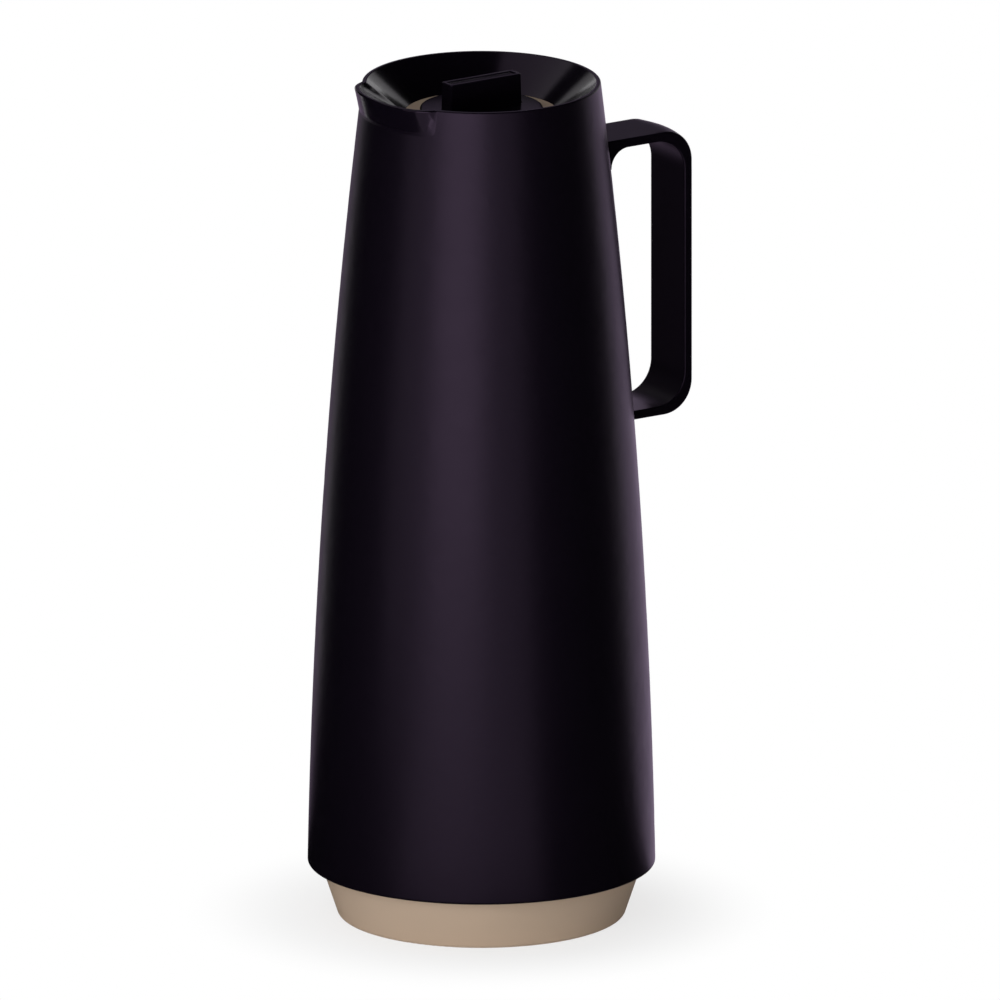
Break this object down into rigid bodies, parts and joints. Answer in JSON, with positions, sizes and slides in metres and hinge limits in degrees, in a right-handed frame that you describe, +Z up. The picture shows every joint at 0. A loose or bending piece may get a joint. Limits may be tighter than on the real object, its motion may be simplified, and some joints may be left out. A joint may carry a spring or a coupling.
{
  "type": "thermal jug",
  "caption": "Tall tapered thermal jug with a glass vacuum flask, flat strap handle, funnel mouth with pouring lip, finned screw stopper and tapered base.",
  "frame": {"origin": "centre of the base's foot ring, on the surface that the jug stands on", "axes": "+Z up along the jug's axis, +X towards the handle, -X towards the pouring lip"},
  "size_m": [0.1402, 0.12, 0.298],
  "materials": {
    "dark_polypropylene": "satin",
    "taupe_polypropylene": "satin",
    "silvered_glass": "gloss",
    "felt_pads": "matte",
    "black_rubber": "matte",
    "clear_silicone": "satin",
    "white_foam": "matte"
  },
  "bodies": {
    "jug": {"outer_shell": "dark_polypropylene", "handle": "dark_polypropylene", "base_cup": "taupe_polypropylene", "base_cushion": "black_rubber", "inner_flask": "silvered_glass", "outer_flask": "silvered_glass", "flask_spacers": "felt_pads", "neck_collar": "taupe_polypropylene", "collar_seal": "black_rubber", "mouth_gasket": "black_rubber"},
    "sealing_ring": {"stopper_seal": "clear_silicone"},
    "stopper": {"stopper_cap": "dark_polypropylene", "stopper_plug": "dark_polypropylene", "stopper_foam": "white_foam"}
  },
  "joints": [
    {"name": "stopper_lift", "type": "slide", "parent": "jug", "child": "sealing_ring", "axis": [0, 0, 1], "range_m": [0, 0.07]},
    {"name": "stopper_twist", "type": "hinge", "parent": "sealing_ring", "child": "stopper", "pos_m": [0, 0, 0.28], "axis": [0, 0, 1], "range_deg": [0, 270]}
  ]
}
